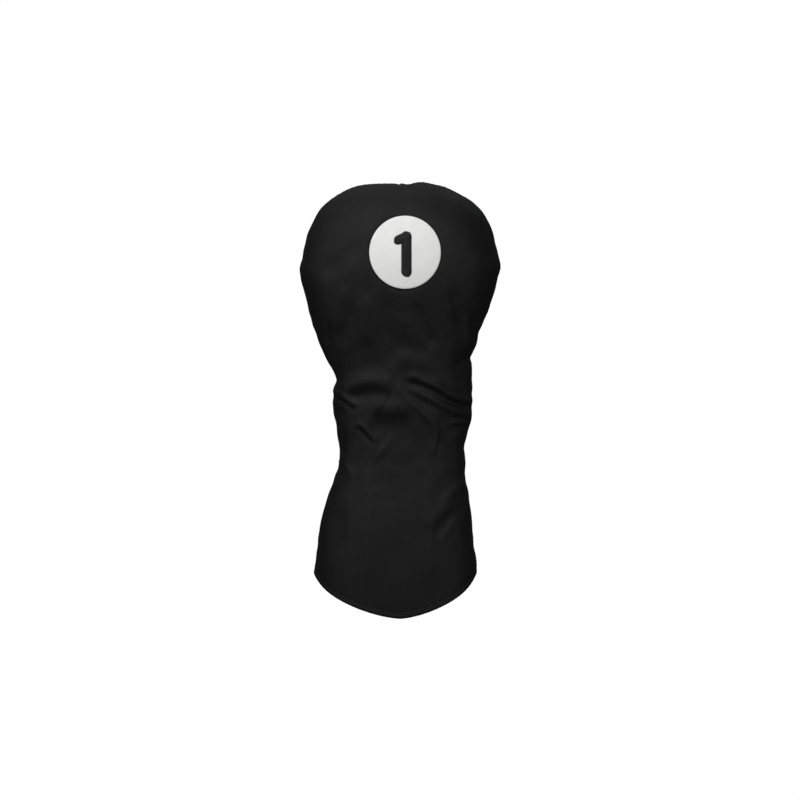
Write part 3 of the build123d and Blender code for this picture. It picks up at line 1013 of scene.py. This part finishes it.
def leatherette_material():
    """White leatherette with a fine grain."""
    n = Nodes("white_leatherette")
    here = n.add("ShaderNodeTexCoord").outputs["Object"]
    tone = n.ramp(n.noise(here, 90, 4), [(0.35, (0.77, 0.77, 0.755)), (0.65, (0.80, 0.80, 0.79))])
    n.link(tone, n.shader.inputs["Base Color"])
    cells = n.add("ShaderNodeTexVoronoi", {"Scale": 1500.0}, feature="SMOOTH_F1")
    n.link(here, cells.inputs["Vector"])
    grain = n.bump(cells.outputs["Distance"], 0.16, 0.00012)
    n.link(n.bump(n.noise(here, 240, 3), 0.08, 0.0003, grain), n.shader.inputs["Normal"])
    rough = n.math("ADD", n.math("MULTIPLY", n.noise(here, 200, 3), 0.12), 0.44)
    n.link(rough, n.shader.inputs["Roughness"])
    n.value("Specular IOR Level", 0.35)
    return n.material


def fleece_material():
    """Dark fleece with a soft pile, its tone uneven and painted darker in the pile's hollows as shade."""
    n = Nodes("charcoal_fleece")
    here = n.add("ShaderNodeTexCoord").outputs["Object"]
    tuft = n.noise(here, 420, 6, 0.7)
    # The pile's tone varies at random, and the same field paints it darker in the hollows between tufts as
    # painted shade.
    colour = n.ramp(tuft, [(0.3, (0.02, 0.02, 0.022)), (0.7, (0.075, 0.075, 0.08))])
    n.link(colour, n.shader.inputs["Base Color"])
    n.link(n.bump(tuft, 0.9, 0.0012), n.shader.inputs["Normal"])
    n.link(n.math("ADD", n.math("MULTIPLY", tuft, 0.1), 0.85), n.shader.inputs["Roughness"])
    n.value("Sheen Weight", 0.35)
    n.value("Sheen Roughness", 0.6)
    n.value("Specular IOR Level", 0.15)
    return n.material


def foam_material():
    """Pale open-cell foam, with painted shade in its pores."""
    n = Nodes("open_cell_foam")
    here = n.add("ShaderNodeTexCoord").outputs["Object"]
    cells = n.add("ShaderNodeTexVoronoi", {"Scale": 900.0})
    n.link(here, cells.inputs["Vector"])
    # Painted shade: the colour darkens towards each cell's centre, where the bump sinks into a pore.
    stops = [(0.0, (0.30, 0.30, 0.28)), (0.6, (0.55, 0.55, 0.52))]
    n.link(n.ramp(cells.outputs["Distance"], stops), n.shader.inputs["Base Color"])
    n.link(n.bump(cells.outputs["Distance"], 0.6, 0.0004), n.shader.inputs["Normal"])
    n.value("Roughness", 0.92)
    return n.material


def elastic_material():
    """Black elastic with ribs along its length, painted darker in the grooves between them as shade."""
    n = Nodes("ribbed_elastic")
    split = n.add("ShaderNodeSeparateXYZ")
    n.link(n.add("ShaderNodeTexCoord").outputs["UV"], split.inputs[0])
    rib = n.math("SINE", n.math("MULTIPLY", split.outputs[1], 2 * math.pi / RIB_PERIOD))
    share = n.math("ADD", n.math("MULTIPLY", rib, 0.5), 0.5)
    # Painted shade: the rib wave darkens the grooves and lightens the crests, the same wave that raises the
    # bump.
    colour = n.ramp(share, [(0.0, (0.02, 0.02, 0.02)), (1.0, (0.06, 0.06, 0.062))])
    n.link(colour, n.shader.inputs["Base Color"])
    n.link(n.bump(rib, 0.6, 0.0003), n.shader.inputs["Normal"])
    n.value("Roughness", 0.7)
    return n.material


def film_material():
    """Pale adhesive film."""
    n = Nodes("adhesive_film")
    here = n.add("ShaderNodeTexCoord").outputs["Object"]
    colour = n.ramp(n.noise(here, 120, 3), [(0.3, (0.42, 0.42, 0.38)), (0.7, (0.55, 0.55, 0.50))])
    n.link(colour, n.shader.inputs["Base Color"])
    n.link(n.bump(n.noise(here, 800, 2), 0.2, 0.0001), n.shader.inputs["Normal"])
    n.value("Roughness", 0.35)
    return n.material


def give(pieces, material):
    """Put one material on some pieces."""
    for piece in pieces:
        piece.data.materials.clear()
        piece.data.materials.append(material)


# ---- Camera, light and floor ----

CAMERA_LENS, CAMERA_SENSOR = 300.0, 36.0  # mm
CAMERA_FAR = 5.211  # metres from the cover
FLOOR_HALF = 3.0

# Each soft light: name, place, what it points at, width, height and power.
SOFTBOXES = [
    ("top_softbox", (-0.13, -0.44, 0.68), (0, 0, 0.27), 1.4, 0.45, 5.0),
    ("left_strip", (-1.15, -1.00, 0.22), (0, 0, 0.22), 0.5, 0.5, 2.8),
    ("right_strip", (1.10, -1.00, 0.22), (0, 0, 0.22), 0.5, 0.5, 2.8),
    ("overhead_softbox", (0.0, 0.45, 1.25), (0, 0, 0.2), 1.6, 0.7, 2.6),
    ("low_softbox", (0.0, -0.55, 0.05), (0, 0, 0.27), 0.9, 0.1, 0.4),
]


def camera():
    """A camera level with the cover's middle, facing its front."""
    data = bpy.data.cameras.new("camera")
    data.lens, data.sensor_width = CAMERA_LENS, CAMERA_SENSOR
    obj = bpy.data.objects.new("camera", data)
    obj.location = (0.0, -CAMERA_FAR, (CAD_LOW.z + CAD_HIGH.z) / 2)
    obj.rotation_euler = (math.radians(90), 0, 0)
    bpy.context.scene.collection.objects.link(obj)
    bpy.context.scene.camera = obj


def softbox(name, place, target, width, height, power):
    """A rectangular area light pointed at a target."""
    data = bpy.data.lights.new(name, "AREA")
    data.shape, data.size, data.size_y, data.energy = "RECTANGLE", width, height, power
    obj = bpy.data.objects.new(name, data)
    obj.location = place
    aim = np.array(target) - np.array(place)
    obj.rotation_mode = "QUATERNION"
    obj.rotation_quaternion = Vector(aim).to_track_quat("-Z", "Y")
    bpy.context.scene.collection.objects.link(obj)


def studio():
    """The soft lights, and a world that looks white but lights the cover only faintly."""
    world = bpy.data.worlds.new("studio")
    bpy.context.scene.world = world
    world.use_nodes = True
    tree = world.node_tree
    tree.nodes.clear()
    out = tree.nodes.new("ShaderNodeOutputWorld")
    mix = tree.nodes.new("ShaderNodeMixShader")
    seen = tree.nodes.new("ShaderNodeBackground")
    lit = tree.nodes.new("ShaderNodeBackground")
    path = tree.nodes.new("ShaderNodeLightPath")
    seen.inputs["Color"].default_value = (1, 1, 1, 1)
    seen.inputs["Strength"].default_value = 1.0
    lit.inputs["Color"].default_value = (0.95, 0.97, 1.0, 1)
    lit.inputs["Strength"].default_value = 0.09
    tree.links.new(path.outputs["Is Camera Ray"], mix.inputs["Fac"])
    tree.links.new(lit.outputs[0], mix.inputs[1])
    tree.links.new(seen.outputs[0], mix.inputs[2])
    tree.links.new(mix.outputs[0], out.inputs["Surface"])
    for settings in SOFTBOXES:
        softbox(*settings)


def floor():
    """A pale floor at the hem's height, which the camera sees as nearly white."""
    mesh = bpy.data.meshes.new("floor")
    z = CAD_LOW.z
    low, high = -FLOOR_HALF, FLOOR_HALF
    corners = [(low, low, z), (high, low, z), (high, high, z), (low, high, z)]
    mesh.from_pydata(corners, [], [[0, 1, 2, 3]])
    obj = bpy.data.objects.new("floor", mesh)
    bpy.context.scene.collection.objects.link(obj)
    material = bpy.data.materials.new("pale_floor")
    material.use_nodes = True
    tree = material.node_tree
    tree.nodes.clear()
    out = tree.nodes.new("ShaderNodeOutputMaterial")
    add = tree.nodes.new("ShaderNodeAddShader")
    glow = tree.nodes.new("ShaderNodeEmission")
    path = tree.nodes.new("ShaderNodeLightPath")
    matte = tree.nodes.new("ShaderNodeBsdfDiffuse")
    matte.inputs["Color"].default_value = (0.14, 0.14, 0.14, 1)
    tree.links.new(path.outputs["Is Camera Ray"], glow.inputs["Strength"])
    glow.inputs["Color"].default_value = (0.985, 0.985, 0.985, 1)
    tree.links.new(glow.outputs[0], add.inputs[0])
    tree.links.new(matte.outputs[0], add.inputs[1])
    tree.links.new(add.outputs[0], out.inputs["Surface"])
    mesh.materials.append(material)


def view_settings():
    """Plain colours, with no tone curve over them."""
    scene = bpy.context.scene
    scene.view_settings.view_transform = "Standard"
    scene.view_settings.look = "None"


def main():
    """Every piece with its material and body, and the scene round them."""
    nylon = nylon_material()
    dark, light = (0.008, 0.008, 0.0083), (0.018, 0.018, 0.0183)
    black_thread = thread_material("black_sewing_thread", dark, light, 0.4)
    dark, light = (0.004, 0.004, 0.0044), (0.009, 0.009, 0.0094)
    numeral_thread = thread_material("numeral_satin_thread", dark, light, 0.32)
    cloth = panels()
    foam = paddings()
    fleece = linings()
    strips = facings()
    bands = elastics()
    threads = topstitches() + lining_hem_stitches() + hidden_seams() + zigzags() + tack()
    film, disc, satin_thread, pad = badge()
    give(cloth + strips, nylon)
    give(foam, foam_material())
    give(fleece, fleece_material())
    give(bands, elastic_material())
    give(threads, black_thread)
    give([film], film_material())
    give([disc], leatherette_material())
    give([satin_thread, pad], numeral_thread)
    for piece in cloth + foam + fleece + strips + bands + threads + [film, disc, satin_thread, pad]:
        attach(piece, "root")
    camera()
    studio()
    floor()
    view_settings()


main()
